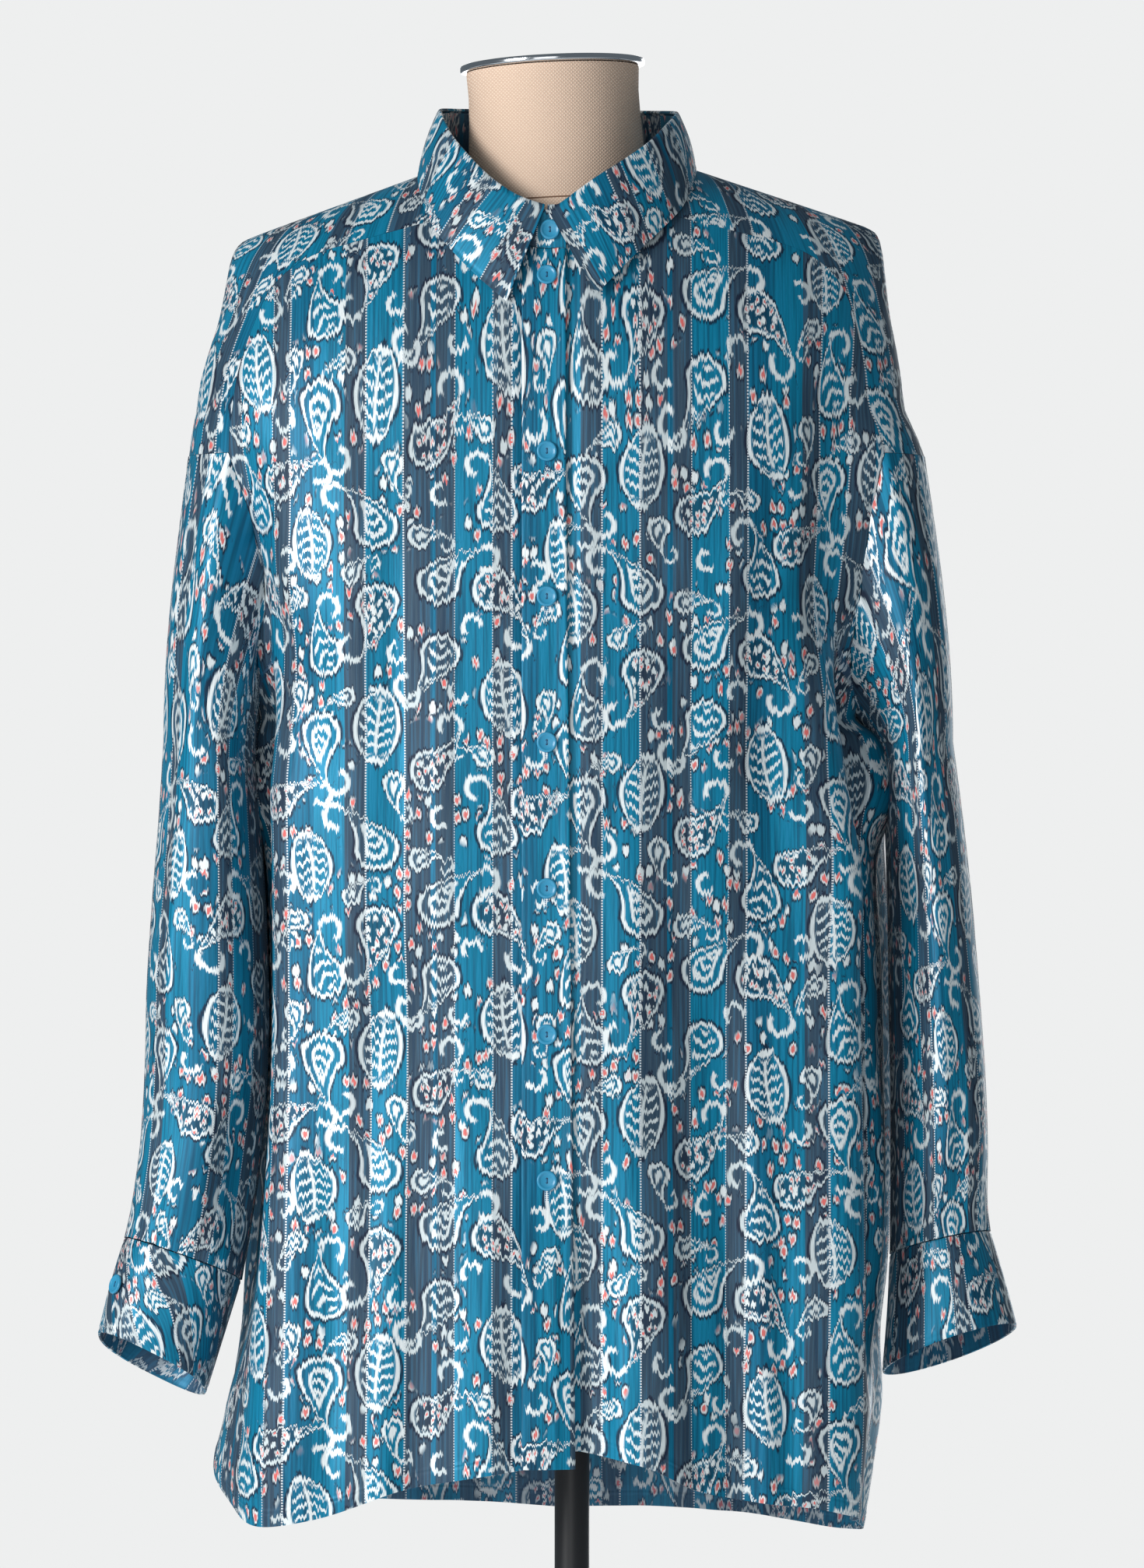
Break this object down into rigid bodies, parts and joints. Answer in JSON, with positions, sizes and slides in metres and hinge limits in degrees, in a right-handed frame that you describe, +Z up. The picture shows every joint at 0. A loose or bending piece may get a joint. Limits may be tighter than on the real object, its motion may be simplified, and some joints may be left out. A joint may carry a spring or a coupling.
{
  "type": "tunic on a dress form",
  "caption": "Long printed button-front tunic shirt with a point collar and wide cuffs, worn by a limbless dress form on a pole and round base.",
  "frame": {"origin": "on the floor under the middle of the pole, at the middle of the base's underside", "axes": "+Z up along the pole, the tunic's front faces -Y, +X to the viewer's right"},
  "size_m": [0.5416, 0.35, 1.4989],
  "materials": {
    "printed_satin": "teal and slate striped satin with a cream and coral paisley print",
    "blue_button": "glossy turquoise buttons",
    "linen": "natural linen cover",
    "polished_steel": "polished cap",
    "black_metal": "black satin paint"
  },
  "bodies": {
    "root": {"front_right": "printed_satin", "front_placket": "printed_satin", "front_left": "printed_satin", "back": "printed_satin", "yoke": "printed_satin", "sleeve_right": "printed_satin", "sleeve_left": "printed_satin", "cuff_right": "printed_satin", "cuff_left": "printed_satin", "collar_stand": "printed_satin", "collar": "printed_satin", "button_1": "blue_button", "button_2": "blue_button", "button_3": "blue_button", "button_4": "blue_button", "button_5": "blue_button", "button_6": "blue_button", "button_7": "blue_button", "button_8": "blue_button", "cuff_button_right": "blue_button", "cuff_button_left": "blue_button", "form_torso": "linen", "form_neck_cap": "polished_steel", "form_pole": "black_metal", "form_base": "black_metal"}
  },
  "joints": []
}
